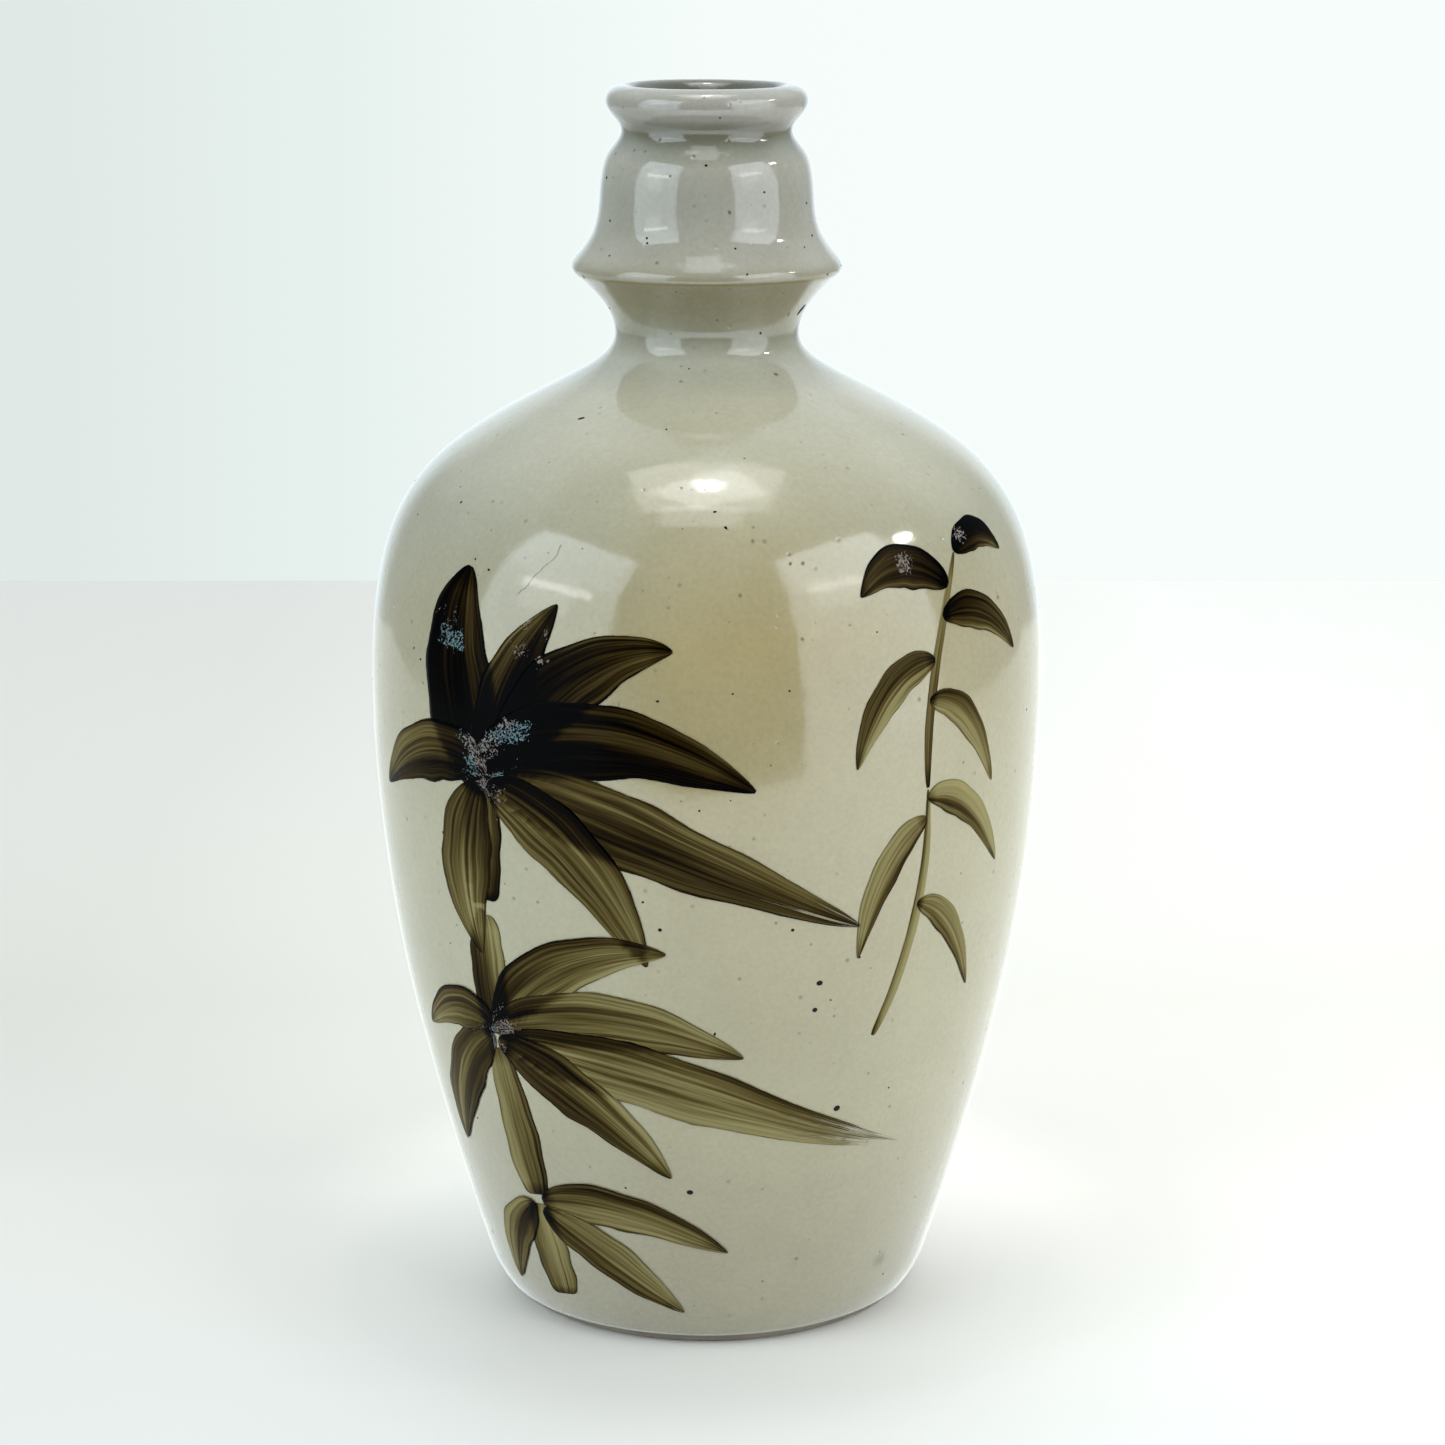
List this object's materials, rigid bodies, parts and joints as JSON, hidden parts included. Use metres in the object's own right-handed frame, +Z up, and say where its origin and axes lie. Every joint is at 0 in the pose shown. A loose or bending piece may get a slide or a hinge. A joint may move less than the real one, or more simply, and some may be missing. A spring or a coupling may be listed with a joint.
{
  "type": "sake bottle",
  "caption": "Glazed stoneware sake bottle with a swelling body, a narrow throat, a collared neck, a rolled lip and an iron-brown bamboo painting.",
  "frame": {"origin": "middle of the foot, on the surface that the bottle stands on", "axes": "+Z up along the bottle's axis and out of its mouth; -Y is the painted front"},
  "size_m": [0.1428, 0.143, 0.26],
  "materials": {
    "stoneware_clay": "matt fired clay, bare at the foot",
    "ash_glaze": "gloss, clear grey-green ash glaze with fine iron specks",
    "liner_glaze": "gloss, thinner glaze poured inside",
    "iron_pigment": "semi-gloss iron-brown brushwork, nearly black where it is thick"
  },
  "bodies": {
    "root": {"lower_body": "stoneware_clay", "shoulder": "stoneware_clay", "neck": "stoneware_clay", "outer_glaze": "ash_glaze", "inner_glaze": "liner_glaze", "bamboo_brushwork": "iron_pigment", "sprig_brushwork": "iron_pigment"}
  },
  "joints": []
}
